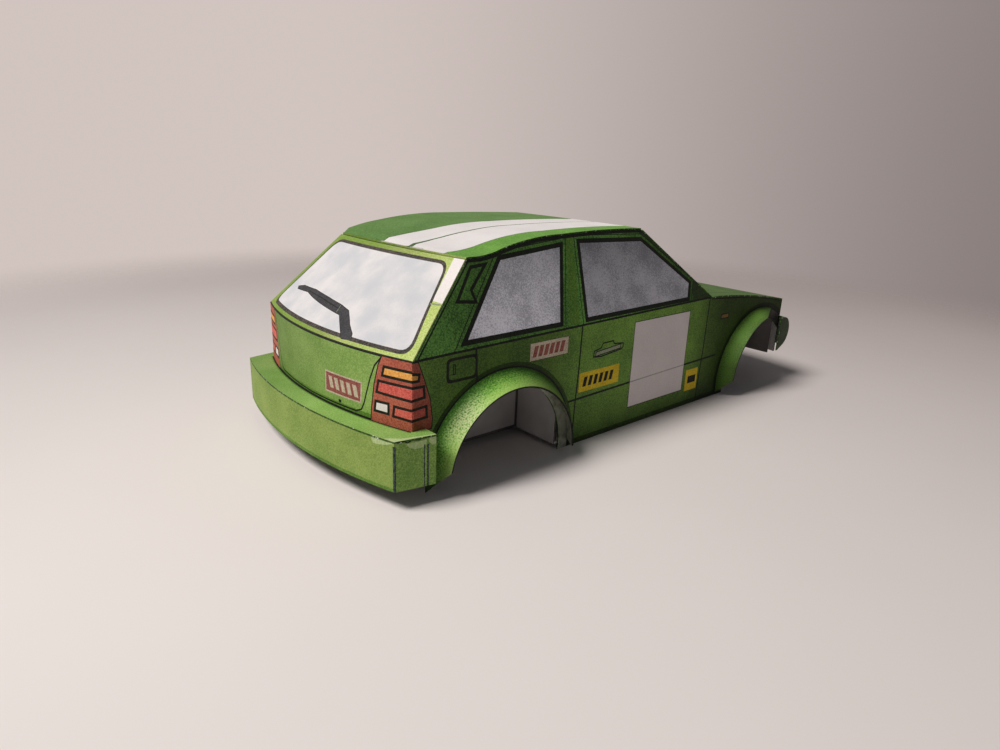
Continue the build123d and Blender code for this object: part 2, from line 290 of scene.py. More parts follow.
def printed_ink(name, dark, light, grain=0.55, grain_size=0.2, cloud=0.5, fades=None, flecks=0.0):
    """Ink on matt card: a grain of dark and light dots, slow clouds, and specks that the ink missed.
    fades gives, for an axis, pairs of a place in mm and a factor or a tint on the colour."""
    material, shader, place = new_finish(name)
    dots = place.noise(place, grain_size, 2.0) - 0.5
    drift = place.noise(place, 4.5, 3.0) - 0.5
    share = (0.5 + 4.0 * grain * dots + 2.0 * cloud * drift).between(0.0, 1.0)
    colour = share.mix(with_alpha(dark), with_alpha(light))
    for axis, pairs in (fades or {}).items():
        along = place.add("ShaderNodeSeparateXYZ", {}, {0: place}, output=axis)
        if axis == "X":
            along = along - frame_point(0, 0, 0)[0] / MM
        tint = {0: colour, 1: faded(along, pairs)}
        colour = place.add("ShaderNodeVectorMath", {"operation": "MULTIPLY"}, tint)
    if flecks:
        bare = place.noise(place, 0.3, 3.0).between(0.74 - flecks, 0.8 - flecks)
        colour = bare.mix(colour, BARE_CARD)
    wire(colour, shader, "Base Color")
    wire(0.54 + 0.16 * place.noise(place, 0.5, 2.0), shader, "Roughness")
    shader.inputs["Specular IOR Level"].default_value = INK_GLOSS
    card_tooth(shader, place, 0.3)
    return material


def anticlockwise(loop):
    area = sum(a[0] * b[1] - b[0] * a[1] for a, b in zip(loop, loop[1:] + loop[:1]))
    return loop if area > 0 else loop[::-1]


def spaced(first, last, count):
    """Even steps from first to last, both included."""
    return [first + (last - first) * i / count for i in range(count + 1)]


def arc(centre, radius, start, end, count):
    """Points on an arc, with its angles in degrees."""
    turns = [math.radians(turn) for turn in spaced(start, end, count)]
    return [(centre[0] + radius * math.cos(a), centre[1] + radius * math.sin(a)) for a in turns]


def oblong(low, high):
    return [(low[0], low[1]), (high[0], low[1]), (high[0], high[1]), (low[0], high[1])]


def with_neighbours(loop):
    """Each point of a closed loop between the one before it and the one after it."""
    points = [Vector(p) for p in loop]
    return zip(points[-1:] + points[:-1], points, points[1:] + points[:1])


def grown(loop, margin):
    """A loop moved outwards by margin, with mitred corners."""
    result = []
    for before, point, after in with_neighbours(anticlockwise(loop)):
        into, out = (point - before).normalized(), (after - point).normalized()
        aside = Vector((into.y + out.y, -into.x - out.x)).normalized()
        reach = margin / max(aside.dot(Vector((into.y, -into.x))), 0.35)
        result.append(tuple(point + aside * reach))
    return result


def rounded(loop, radius, count=5):
    """A loop with its corners rounded; radius is how far from a corner the round starts."""
    result = []
    for before, point, after in with_neighbours(loop):
        start = point + (before - point).normalized() * min(radius, 0.48 * (before - point).length)
        end = point + (after - point).normalized() * min(radius, 0.48 * (after - point).length)
        for i in range(count + 1):
            t = i / count
            result.append(tuple((1 - t) ** 2 * start + 2 * t * (1 - t) * point + t * t * end))
    return result


def stroke(path, width):
    """The outline of a line of that width along an open path."""
    points = [Vector(p) for p in path]
    sides = ([], [])
    for i, point in enumerate(points):
        into = (point - points[i - 1]).normalized() if i else (points[1] - point).normalized()
        out = (points[i + 1] - point).normalized() if i + 1 < len(points) else into
        aside = Vector((into.y + out.y, -into.x - out.x)).normalized()
        reach = 0.5 * width / max(aside.dot(Vector((into.y, -into.x))), 0.4)
        sides[0].append(tuple(point + aside * reach))
        sides[1].append(tuple(point - aside * reach))
    return sides[0] + sides[1][::-1]


def card_sheet(outline, prints, bend, ground, back, rim, creases=(), turn=1):
    """One sheet of card: front cut along every printed edge, back and rim.
    bend takes the flat sheet to station, y and z; turn is -1 where the flat sheet is seen from behind.
    rim is the ink of the cut edge, or a function that gives it at a place on the flat sheet."""
    points, edges, loops = [], [], []
    for loop in [outline] + [shape for _, shape in prints]:
        loops.append(list(range(len(points), len(points) + len(loop))))
        points += anticlockwise(list(loop))
    for line in creases:
        edges += [(len(points) + i, len(points) + i + 1) for i in range(len(line) - 1)]
        points += line
    inks = [ground] + [ink for ink, _ in prints]
    flat, _, triangles, _, _, owners = delaunay_2d_cdt([Vector(p) for p in points], edges, loops, 1, SNAP)
    kept = [(tuple(face)[::turn], inks[max(own)]) for face, own in zip(triangles, owners) if 0 in own]
    used = sorted({i for face, _ in kept for i in face})
    order = {old: new for new, old in enumerate(used)}
    front, behind = [], []
    for i in used:
        s, t = flat[i]
        here = Vector(bend(s, t))
        along, across = Vector(bend(s + NEAR_BY, t)) - here, Vector(bend(s, t + NEAR_BY)) - here
        front.append(here)
        behind.append(here - turn * CARD * along.cross(across).normalized())
    count = len(used)
    faces = [(tuple(order[i] for i in face), ink) for face, ink in kept]
    sides = {(face[i], face[(i + 1) % 3]) for face, _ in faces for i in range(3)}
    sheet = list(faces)
    sheet += [(tuple(i + count for i in face[::-1]), back) for face, _ in faces]
    for a, b in sides:
        if (b, a) not in sides:
            ink = rim(*flat[used[a]]) if callable(rim) else rim
            sheet.append(((b, a, a + count, b + count), ink))
    maps = [tuple(flat[i]) for i in used] * 2
    return front + behind, sheet, maps


def make_piece(name, sheets, node):
    """Joins sheets into one piece that stands for a node, with a slot for each ink."""
    mesh = bpy.data.meshes.new(name)
    vertices, faces, inks, maps = [], [], [], []
    for points, sheet, flat in sheets:
        first = len(vertices)
        vertices += [frame_point(*p) for p in points]
        faces += [tuple(i + first for i in face) for face, _ in sheet]
        inks += [ink for _, ink in sheet]
        maps += flat
    mesh.from_pydata(vertices, [], faces)
    palette = sorted(set(inks), key=lambda ink: ink.name)
    for ink in palette:
        mesh.materials.append(ink)
    mesh.polygons.foreach_set("material_index", [palette.index(ink) for ink in inks])
    layer = mesh.uv_layers.new(name="flat_print")
    for loop in mesh.loops:
        layer.data[loop.index].uv = maps[loop.vertex_index]
    mesh.shade_smooth()
    mesh.set_sharp_from_angle(angle=FOLD_ANGLE)
    mesh.validate()
    piece = bpy.data.objects.new(name, mesh)
    bpy.context.scene.collection.objects.link(piece)
    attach(piece, "root")
    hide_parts(node)


def arc_through(first, middle, last):
    """Height over station of the arc through three points."""
    (ax, az), (bx, bz), (cx, cz) = first, middle, last
    twice = 2 * (ax * (bz - cz) + bx * (cz - az) + cx * (az - bz))
    squares = (ax * ax + az * az, bx * bx + bz * bz, cx * cx + cz * cz)
    x = (squares[0] * (bz - cz) + squares[1] * (cz - az) + squares[2] * (az - bz)) / twice
    z = (squares[0] * (cx - bx) + squares[1] * (ax - cx) + squares[2] * (bx - ax)) / twice
    radius = math.hypot(ax - x, az - z)
    above = 1 if bz > z else -1
    return lambda at: z + above * math.sqrt(max(radius * radius - (at - x) ** 2, 0.0))


bonnet_arc = arc_through(*BONNET_ARC)


def bonnet_line(x):
    return bonnet_arc(x) if x > BONNET_ARC[0][0] else BONNET_ARC[0][1]


# Printed darker over the quarter; darker towards the nose as painted shade of the lamp's falloff.
SIDE_PRINT_AND_SHADE = [(3.3, 0.66), (9.0, 0.46), (14.0, 0.42), (26.0, 0.46), (31.0, 0.88)]
SIDE_PRINT_AND_SHADE += [(46.0, 1.0), (60.0, 0.9), (65.0, 0.4), (70.0, 0.2), (92.0, 0.15)]
# Painted shade: the body sides darken towards the sill, next to the table.
SILL_PAINTED_SHADE = [(0.0, 0.4), (4.0, 0.72), (10.0, 1.0), (30.0, 1.0)]
SIDE_FADES = {"X": SIDE_PRINT_AND_SHADE, "Z": SILL_PAINTED_SHADE}
side_green = printed_ink("side_green", (0.08, 0.175, 0.032), (0.22, 0.405, 0.065), fades=SIDE_FADES)
shade_green = printed_ink("shade_green", (0.02, 0.05, 0.01), (0.075, 0.15, 0.02), fades=SIDE_FADES)
line_black = printed_ink("line_black", (0.003, 0.004, 0.003), (0.016, 0.02, 0.013), cloud=0.3)
pale_line = printed_ink("pale_line", (0.2, 0.24, 0.14), (0.36, 0.38, 0.27))
number_white = printed_ink("number_white", (0.66, 0.6, 0.585), (0.76, 0.695, 0.675), 0.3)
faint_grey = printed_ink("faint_grey", (0.3, 0.29, 0.28), (0.46, 0.44, 0.42))
cream = printed_ink("cream", (0.42, 0.35, 0.24), (0.66, 0.58, 0.44))
sticker_red = printed_ink("sticker_red", (0.2, 0.045, 0.04), (0.36, 0.12, 0.1))
sticker_yellow = printed_ink("sticker_yellow", (0.52, 0.36, 0.01), (0.78, 0.58, 0.03))
# Painted shade: the lamp inks are darker where they wrap onto the shaded body sides.
LAMP_SIDE_SHADE = {"X": [(TAIL, 1.0), (TAIL + 0.3, 0.62), (NOSE - 1.0, 0.62), (NOSE, 1.0)]}
lamp_orange = printed_ink("lamp_orange", (0.34, 0.066, 0.04), (0.54, 0.168, 0.102), fades=LAMP_SIDE_SHADE)
marker_brown = printed_ink("marker_brown", (0.12, 0.075, 0.025), (0.25, 0.155, 0.055))
lamp_red = printed_ink("lamp_red", (0.52, 0.07, 0.058), (0.78, 0.185, 0.136), fades=LAMP_SIDE_SHADE)
lamp_amber = printed_ink("lamp_amber", (0.74, 0.3, 0.055), (0.98, 0.52, 0.135), fades=LAMP_SIDE_SHADE)
flare_inside = printed_ink("flare_inside", (0.13, 0.15, 0.1), (0.42, 0.44, 0.35), 0.3, 0.9, 0.9)
# Painted shade: the insides of the front arches are near black for the deep shade there.
front_inside = printed_ink("front_inside", (0.02, 0.02, 0.018), (0.07, 0.068, 0.062), 0.3, 0.9, 0.9)
worn_edge = printed_ink(
    "worn_edge", (0.012, 0.035, 0.008), (0.07, 0.15, 0.025), grain_size=0.4, flecks=0.12,
)

LAMP_WRAP = [(TAIL - 1, 17.55), (4.21, 17.5), (5.06, 15.24), (5.95, 12.54), (6.27, 9.88), (6.13, 8.86)]
LAMP_WRAP += [(TAIL - 1, 8.86)]
LAMP_SIDE_CELLS = [
    (lamp_amber, [(TAIL - 1, 16.27), (4.21, 15.86), (4.15, 15.42), (TAIL - 1, 15.48)]),
    (lamp_red, [(TAIL - 1, 14.36), (4.88, 14.25), (4.95, 13.2), (TAIL - 1, 13.0)]),
    (lamp_red, [(TAIL - 1, 11.5), (5.24, 11.67), (5.3, 10.64), (TAIL - 1, 10.48)]),
]
LAMP_RING = 0.36
SILL_SHADE = [(0.0, -1.0), (95.0, -1.0), (95.0, 0.9), (0.0, 0.8)]
ARCHES = ((REAR_AXLE, REAR_FOOT, flare_inside), (FRONT_AXLE, FRONT_FOOT, front_inside))
ARCH_TURNS = (-8, 188)
ARCH_SHADE, ARCH_LINE = 0.8, 0.26
BELT_SEAM = [(TAIL, BELT_REAR), (SCREEN, BELT_FRONT)]
WING_SEAM = [(SCREEN, 18.35), (79.7, 17.05), (NOSE, 15.3)]
QUARTER_SEAM = [(12.95, 18.0), (13.25, 13.0)]
SEAM_LINE, DOOR_LINE, SWAGE_LINE = 0.3, 0.28, 0.34
FUEL_FLAP = oblong((8.6, 14.25), (13.05, 17.0))
FLAP_PULL = oblong((9.35, 15.0), (9.8, 16.4))
HANDLE = [(35.2, 12.85), (37.0, 12.65), (41.6, 13.1), (42.1, 13.5), (42.0, 14.2), (39.9, 14.4)]
HANDLE += [(39.6, 14.9), (37.2, 14.85), (36.8, 14.2), (35.3, 13.9)]
HANDLE_SLOT = [(35.8, 13.05), (41.2, 13.45), (41.3, 13.95), (35.9, 13.55)]
QUARTER_STICKER = oblong((22.35, 14.5), (29.7, 16.95))
QUARTER_MARKS = ((22.8, 14.95), (29.0, 16.5))
DOOR_STICKER = oblong((32.55, 7.95), (41.5, 10.9))
DOOR_MARKS = ((33.3, 8.7), (40.3, 10.2))
NUMBER_PANEL = oblong((44.5, 3.1), (58.85, 16.9))
PANEL_CREASE = [(44.5, 7.3), (58.85, 7.61)]
WING_STICKER = oblong((59.8, 2.6), (63.3, 6.4))
WING_BLOCK = oblong((60.5, 3.9), (62.8, 5.2))
SIDE_MARKER = oblong((68.5, 14.2), (71.2, 15.2))
MARKER_LENS = oblong((68.75, 14.4), (70.95, 15.0))
SWAGE = [(30.4, 6.99), (68.4, 7.82)]
DOOR_REAR = [(32.45, 18.3), (32.3, 12.0), (32.0, 7.0), (31.75, 0.0)]
DOOR_FRONT = [(64.4, 18.8), (64.2, 10.0), (63.6, 0.0)]


def slanted_marks(ink, low, high, count, lean, gap):
    """A row of plain slanted blocks between two corners, in one ink."""
    step = (high[0] - low[0]) / count
    for i in range(count):
        start, end = low[0] + i * step, low[0] + (i + 1) * step - gap
        yield ink, [(start, low[1]), (end, low[1]), (end + lean, high[1]), (start + lean, high[1])]


def side_outline():
    """Sheet of one body side, from the tail skirt round both arches to the nose and the bonnet."""
    rear, front = REAR_FOOT - FOOT_LANDING, FRONT_FOOT - FOOT_LANDING
    rear_start = 180 - math.degrees(math.asin((TAIL_SKIRT - REAR_AXLE[1]) / rear))
    rear_end = math.degrees(math.asin(-REAR_AXLE[1] / rear))
    front_start = 180 - math.degrees(math.asin(-FRONT_AXLE[1] / front))
    front_end = math.degrees(math.acos((NOSE - FRONT_AXLE[0]) / front))
    loop = [(TAIL, TAIL_SKIRT)]
    loop += arc(REAR_AXLE, rear, rear_start, rear_end, 48)
    loop += arc(FRONT_AXLE, front, front_start, front_end, 40)
    loop += [(x, bonnet_line(x) - CARD) for x in spaced(NOSE, BONNET_ARC[0][0], 12)]
    loop += [(SCREEN, BELT_FRONT - CARD), (SCREEN, BELT_FRONT), (TAIL, BELT_REAR)]
    return loop


def lined(ink, shape, ring):
    """A shape in its ink, over a black one that stands out by ring."""
    return [(line_black, grown(shape, ring)), (ink, shape)]


def lines(width, *paths):
    """Black lines of one width along open paths."""
    return [(line_black, stroke(path, width)) for path in paths]


def side_prints(flap):
    """Everything printed on one body side, from the bottom layer up."""
    prints = [(shade_green, SILL_SHADE)]
    for axle, foot, inside in ARCHES:
        for ink, margin in ((shade_green, ARCH_SHADE), (line_black, ARCH_LINE), (inside, -CARD)):
            prints.append((ink, arc(axle, foot + margin, *ARCH_TURNS, 48)))
    prints += lines(SWAGE_LINE, SWAGE)
    prints += lines(DOOR_LINE, DOOR_REAR, DOOR_FRONT)
    prints += lines(SEAM_LINE, BELT_SEAM, WING_SEAM)
    if flap:
        prints += [
            *lines(SEAM_LINE, QUARTER_SEAM),
            (line_black, rounded(grown(FUEL_FLAP, 0.22), 0.7)),
            (side_green, rounded(grown(FUEL_FLAP, -0.16), 0.6)),
            (line_black, FLAP_PULL),
            (side_green, grown(FLAP_PULL, -0.15)),
        ]
    prints += [
        (line_black, HANDLE),
        (side_green, grown(HANDLE, -0.22)),
        *lined(pale_line, HANDLE_SLOT, 0.16),
        *lined(cream, QUARTER_STICKER, 0.06),
        *slanted_marks(sticker_red, *QUARTER_MARKS, count=6, lean=0.4, gap=0.3),
        (sticker_yellow, DOOR_STICKER),
        *slanted_marks(line_black, *DOOR_MARKS, count=6, lean=0.35, gap=0.45),
        *lined(number_white, NUMBER_PANEL, 0.12),
        (faint_grey, stroke(PANEL_CREASE, 0.2)),
        (sticker_yellow, WING_STICKER),
        (line_black, WING_BLOCK),
        (line_black, rounded(SIDE_MARKER, 0.3)),
        (marker_brown, rounded(MARKER_LENS, 0.2)),
        *lined(lamp_orange, LAMP_WRAP, 0.14),
    ]
    for ink, cell in LAMP_SIDE_CELLS:
        prints += lined(ink, cell, LAMP_RING)
    return prints


SIDES = {"right": -1, "left": 1}
for name, side in SIDES.items():
    sheet = card_sheet(
        side_outline(), side_prints(flap=side < 0), lambda x, z: (x, side * BODY_HALF, z),
        side_green, white_card, worn_edge, turn=-side,
    )
    node = f"body_side_{name}"
    make_piece(f"{node}_print", [sheet], node)


# The cabin sides are flat sheets that lean in from the belt fold to the roof seam. The windows
# are printed cloudy grey in black frames, with green pillars between them.
TUMBLE = math.tan(math.radians(21.1))
ROOF_REAR, WINDOW_TOP = 14.2, 28.35
ROOF_FRONT, SCREEN_TOP = 49.6, 30.4
REAR_CORNER = ((TAIL, BELT_REAR), (ROOF_REAR, WINDOW_TOP))
FRONT_CORNER = ((SCREEN, BELT_FRONT), (ROOF_FRONT, SCREEN_TOP))
REAR_EDGE = CARD * math.hypot(1, (ROOF_REAR - TAIL) / (WINDOW_TOP - BELT_REAR))
FRONT_EDGE = CARD * math.hypot(1, (SCREEN - ROOF_FRONT) / (SCREEN_TOP - BELT_FRONT))
ROOF_EDGE = BODY_HALF + 1.0
ROOF_RIGHT = [(ROOF_REAR, 28.5), (14.9, 28.42), (17.4, 28.4), (20.2, 28.95)]
ROOF_RIGHT += [(24.0, 29.71), (31.7, 30.32), (40.2, 30.59), (ROOF_FRONT, 30.43)]
ROOF_LEFT = [(ROOF_REAR, 28.15), (14.9, 28.95), (17.0, 29.62), (20.2, 30.18)]
ROOF_LEFT += [(24.0, 30.62), (31.7, 30.84), (40.2, 30.56), (ROOF_FRONT, 30.15)]
QUARTER_WINDOW = [(11.98, 18.98), (28.18, 19.09), (30.99, 28.69), (19.79, 27.76)]
DOOR_WINDOW = [(33.87, 19.06), (58.02, 19.31), (59.06, 21.4), (48.91, 28.51), (35.17, 28.99)]
WINDOWS = (QUARTER_WINDOW, DOOR_WINDOW)
OUTER_LINE, GREEN_BAND, BLACK_FRAME = 1.14, 1.02, 0.62
SCREEN_POST = [(48.6, 29.9), (49.0, 31.0), (67.0, 18.6), (59.3, 18.0), (59.8, 21.6)]
MIDDLE_PILLAR = [(29.95, 18.5), (32.0, 18.5), (34.0, 29.9), (32.55, 29.9)]
PANEL_EDGE = [(TAIL + 0.75, BELT_REAR), (ROOF_REAR + 0.65, WINDOW_TOP)]
ROOF_SEAM, SEAM_INSET = (14.0, 50.0), 0.2
REAR_PILLAR_VENT = [(11.54, 23.47), (14.46, 23.16), (14.07, 24.62), (17.17, 27.46), (14.68, 27.29)]


def edge_line(points):
    """Height over station of one edge of the roof: a short straight, then three arcs."""
    (rear_x, rear_z), (turn_x, turn_z) = points[:2]
    pieces = [(turn_x, lambda x: rear_z + (turn_z - rear_z) * (x - rear_x) / (turn_x - rear_x))]
    pieces += [(points[i + 2][0], arc_through(*points[i:i + 3])) for i in (1, 3, 5)]

    def height(x):
        x = min(max(x, rear_x), points[-1][0])
        return next(piece(x) for end, piece in pieces if x <= end)

    return height


right_edge, left_edge = edge_line(ROOF_RIGHT), edge_line(ROOF_LEFT)


def roof_height(x, y):
    """The roof is ruled straight across from one edge to the other."""
    share = (y + ROOF_EDGE) / (2 * ROOF_EDGE)
    return (1 - share) * right_edge(x) + share * left_edge(x)


def cabin_half(x, z):
    """Half width of the cabin, which leans in from the belt."""
    belt = BELT_REAR + (BELT_FRONT - BELT_REAR) * (x - TAIL) / (SCREEN - TAIL)
    return BODY_HALF - TUMBLE * (z - belt)


def up_to_roof(line, drop):
    """Where a line of points by height meets the roof, drop below its face."""
    z = WINDOW_TOP
    for _ in range(12):
        x, y, _ = line(z)
        z = roof_height(x, y) - drop
    return line(z)


def corner(ends, z, inset=0.0):
    """Station and half width of a cabin corner at a height."""
    (low_x, low_z), (high_x, high_z) = ends
    x = low_x + (high_x - low_x) * (z - low_z) / (high_z - low_z) + inset
    return x, cabin_half(x, z)


def roof_corner(ends, side, inset=0.0, drop=0.0):
    """Where a cabin corner, set in along the car, meets the roof."""
    def line(z):
        x, half = corner(ends, z, inset)
        return (x, side * half, z)

    return up_to_roof(line, drop)


def seam(side, x):
    """Height of the upper edge of one cabin side."""
    return up_to_roof(lambda z: (x, side * cabin_half(x, z), z), CARD)[2]


def cabin_outline(side):
    rear = roof_corner(REAR_CORNER, side, REAR_EDGE, CARD)[0]
    front = roof_corner(FRONT_CORNER, side, -FRONT_EDGE, CARD)[0]
    loop = [(TAIL + REAR_EDGE, BELT_REAR), (SCREEN - FRONT_EDGE, BELT_FRONT)]
    return loop + [(x, seam(side, x)) for x in spaced(front, rear, 40)]


GLASS_FADES = {"X": [(10.0, 0.9), (16.0, 1.0), (31.0, 0.95), (34.0, 0.6), (65.0, 0.58)]}
GLASS_FADES["Z"] = [(18.0, 1.0), (23.0, 0.95), (29.0, 0.6)]
CABIN_TONES = [(3.3, 0.8), (9.0, 0.65), (14.0, 0.52), (27.0, 0.52)]
CABIN_TONES += [(32.0, 0.75), (44.0, 0.7), (52.0, 0.4), (65.0, 0.3)]
cabin_green = printed_ink(
    "cabin_green", (0.045, 0.122, 0.028), (0.19, 0.44, 0.088), fades={"X": CABIN_TONES},
)
pillar_green = printed_ink("pillar_green", (0.05, 0.12, 0.018), (0.13, 0.25, 0.04))
post_green = printed_ink("post_green", (0.01, 0.022, 0.008), (0.035, 0.06, 0.02))
GLASS_INKS = ((0.46, 0.46, 0.51), (0.86, 0.85, 0.92))
window_grey = printed_ink("window_grey", *GLASS_INKS, 0.6, cloud=1.0, fades=GLASS_FADES)


def cabin_prints(side):
    """Everything printed on one cabin side, from the bottom layer up."""
    roof_seam = [(x, seam(side, x) - SEAM_INSET) for x in spaced(*ROOF_SEAM, 40)]
    prints = [(post_green, SCREEN_POST)]
    prints += [(line_black, grown(window, OUTER_LINE)) for window in WINDOWS]
    prints += [(cabin_green, grown(window, GREEN_BAND)) for window in WINDOWS]
    prints.append((pillar_green, MIDDLE_PILLAR))
    prints += [(line_black, grown(window, BLACK_FRAME)) for window in WINDOWS]
    prints += [(window_grey, window) for window in WINDOWS]
    return prints + [
        (line_black, grown(REAR_PILLAR_VENT, 0.2)),
        (cabin_green, grown(REAR_PILLAR_VENT, -0.22)),
        *lines(2 * SEAM_INSET, roof_seam),
        *lines(0.2, PANEL_EDGE),
        *lines(SEAM_LINE, BELT_SEAM),
    ]


for name, side in SIDES.items():
    sheet = card_sheet(
        cabin_outline(side), cabin_prints(side), lambda x, z: (x, side * cabin_half(x, z), z),
        cabin_green, white_card, worn_edge, turn=-side,
    )
    node = f"cabin_side_{name}"
    make_piece(f"{node}_print", [sheet], node)


# The rear window panel slopes from the belt to the roof and is bowed across. A white window with
# a rounded black frame, a wiper and a lime surround are printed on it. Its cut edges show beside the
# cabin sides, rubbed to a pale green.
TAIL_BOW, ROOF_BOW = 3.25, 0.6
WINDOW_FRAME = [(-17.7, 18.55), (17.2, 18.55), (14.4, 27.05), (-12.85, 27.35)]
WIPER = [
    (-6.9, 18.15), (-2.76, 20.1), (-1.6, 20.16), (0.9, 20.3), (3.84, 20.48), (6.44, 20.66), (9.1, 20.9),
    (13.2, 20.66), (13.7, 20.9), (12.0, 21.25), (7.5, 21.42), (3.0, 21.25), (-1.3, 21.0), (-3.7, 20.7),
    (-5.0, 20.1), (-6.2, 19.5), (-7.95, 18.8), (-8.4, 18.4), (-7.7, 18.2),
]
WIPER_BLADE = [(-1.5, 20.6), (4.0, 20.95), (9.0, 21.05)]
WIPER_GLINT = [(-1.7, 20.2), (-1.3, 20.95)]
SCRATCH = [(-15.3, 23.3), (-17.4, 23.36)]
REAR_BELT = [(-BODY_HALF, BELT_REAR), (0, BELT_REAR), (BODY_HALF, BELT_REAR)]
BARE_CORNER = [(-12.9, 28.9), (-14.95, 28.9), (-17.0, 23.5), (-15.3, 23.6)]


def bowed(y, half, depth):
    """How far an arc between two corner folds stands out at y."""
    radius = (half * half + depth * depth) / (2 * depth)
    return math.sqrt(max(radius * radius - y * y, 0.0)) - (radius - depth)


def sloped_panel(ends, bow, outwards):
    """Bend of a panel between the belt and the roof, where it is bowed less."""
    (_, low_z), (_, high_z) = ends

    def panel(y, z):
        x, half = corner(ends, z)
        share = (z - low_z) / (high_z - low_z)
        return (x + outwards * bowed(y, half, bow + (ROOF_BOW - bow) * share), y, z)

    return panel


def sloped_outline(panel, ends):
    """Sheet of a sloped panel: straight sides and an upper edge that follows the roof."""
    right, left = (roof_corner(ends, side, drop=CARD) for side in (-1, 1))
    top = [up_to_roof(lambda z: panel(y, z), CARD)[1:] for y in spaced(left[1], right[1], 24)]
    return [(-BODY_HALF, ends[0][1]), (BODY_HALF, ends[0][1])] + top


def rows_along(low, high, step, reach):
    """Straight bend lines across a sheet at even steps."""
    count = int((high - low) / step)
    return [[(low + i * step, -reach), (low + i * step, reach)] for i in range(count + 1)]


LEFT_LIME = (0.4, 0.5, 0.29)
LIME_TONES = [(-17.0, 0.95), (-12.0, 0.86), (-4.0, 0.62), (2.0, LEFT_LIME), (17.0, LEFT_LIME)]
lime = printed_ink("lime", (0.36, 0.52, 0.1), (0.66, 0.74, 0.27), cloud=0.4, fades={"Y": LIME_TONES})
panel_white = printed_ink("panel_white", (0.78, 0.735, 0.7), (0.9, 0.855, 0.82), 0.3)
bare_strip = printed_ink("bare_strip", (0.3, 0.44, 0.13), (0.6, 0.7, 0.34), 0.8, 0.3, 0.4)
frame_brown = printed_ink("frame_brown", (0.02, 0.018, 0.016), (0.1, 0.085, 0.07), 0.9, 0.22, 0.4)
rear_glass = printed_ink("rear_glass", (0.58, 0.595, 0.62), (0.77, 0.745, 0.735), 0.12, 0.2, 1.0)
wiper_grey = printed_ink("wiper_grey", (0.02, 0.021, 0.024), (0.065, 0.065, 0.07))
bow_lines = rows_along(-19.0, 19.0, 1.0, 40.0)
rear_window = sloped_panel(REAR_CORNER, TAIL_BOW, -1)
WINDOW_PRINTS = [
    (panel_white, BARE_CORNER),
    (frame_brown, rounded(grown(WINDOW_FRAME, 0.38), 1.7)),
    (rear_glass, rounded(WINDOW_FRAME, 1.4)),
    (pale_line, stroke(SCRATCH, 0.14)),
    *lines(0.24, REAR_BELT),
    *lined(wiper_grey, WIPER, 0.06),
    (pale_line, stroke(WIPER_GLINT, 0.08)),
    *lines(0.1, WIPER_BLADE),
]
sheet = card_sheet(
    sloped_outline(rear_window, REAR_CORNER), WINDOW_PRINTS, rear_window, lime, white_card, bare_strip,
    creases=bow_lines, turn=-1,
)
make_piece("rear_window_print", [sheet], "rear_window_panel")


# The windscreen panel slopes from the bonnet to the roof, bowed across. Its printed window is the
# same cloudy grey as the side windows, with two wipers parked along its lower edge.
SCREEN_BOW = 2.0
SCREEN_WINDOW = [(-16.6, 19.9), (16.6, 19.9), (13.3, 29.1), (-13.3, 29.1)]
SCREEN_WIPERS = [
    [(-9.6, 19.1), (-9.1, 19.1), (3.4, 20.75), (3.3, 21.1)],
    [(2.6, 19.1), (3.1, 19.1), (14.6, 20.5), (14.5, 20.85)],
]
windscreen = sloped_panel(FRONT_CORNER, SCREEN_BOW, 1)
SCREEN_PRINTS = [
    (line_black, rounded(grown(SCREEN_WINDOW, 0.6), 1.6)),
    (window_grey, rounded(SCREEN_WINDOW, 1.4)),
    *lines(SEAM_LINE, [(-BODY_HALF, BELT_FRONT), (BODY_HALF, BELT_FRONT)]),
]
SCREEN_PRINTS += [(wiper_grey, blade) for blade in SCREEN_WIPERS]
sheet = card_sheet(
    sloped_outline(windscreen, FRONT_CORNER), SCREEN_PRINTS, windscreen, pillar_green, white_card,
    worn_edge, creases=bow_lines,
)
make_piece("windscreen_print", [sheet], "windscreen_panel")


# The roof is one sheet with a ducktail along the right of its rear edge, glued on higher at the
# left. Two white stripes with a thin green line between them run along it, right of the middle.
PAST_REAR, PAST_FRONT, PAST_RIGHT = 12.0, 52.0, -22.0
STRIPE_LEFT = [(PAST_REAR, 4.0), (17.6, 3.0), (21.7, 1.9), (29.0, 1.3), (PAST_FRONT, 0.9)]
STRIPE_MIDDLE = [(PAST_REAR, -2.5), (15.5, -2.62), (18.0, -2.7), (24.0, -3.5), (PAST_FRONT, -4.15)]
STRIPE_MIDDLE += [(PAST_FRONT, -4.4), (24.0, -3.9), (18.0, -3.15), (15.5, -3.35), (PAST_REAR, -3.75)]
TAIL_CREASE = [(ROOF_REAR - ROOF_BOW + 0.1 * abs(y), y) for y in (-6, 0, 6)]
STRIPE_RIGHT = [(PAST_REAR, -10.7), (24.0, -10.6), (PAST_FRONT, -11.0)]


def roof_side(side):
    """One side edge of the roof, from the rear to the front."""
    rear, front = (roof_corner(ends, side)[0] for ends in (REAR_CORNER, FRONT_CORNER))
    return [(x, side * cabin_half(x, seam(side, x) + CARD)) for x in spaced(rear, front, 44)]


def roof_end(panel, start, end):
    """Edge of the roof over a sloped panel, between its corners."""
    return [up_to_roof(lambda z: panel(y, z), 0.0)[:2] for y in spaced(start[1], end[1], 20)[1:-1]]


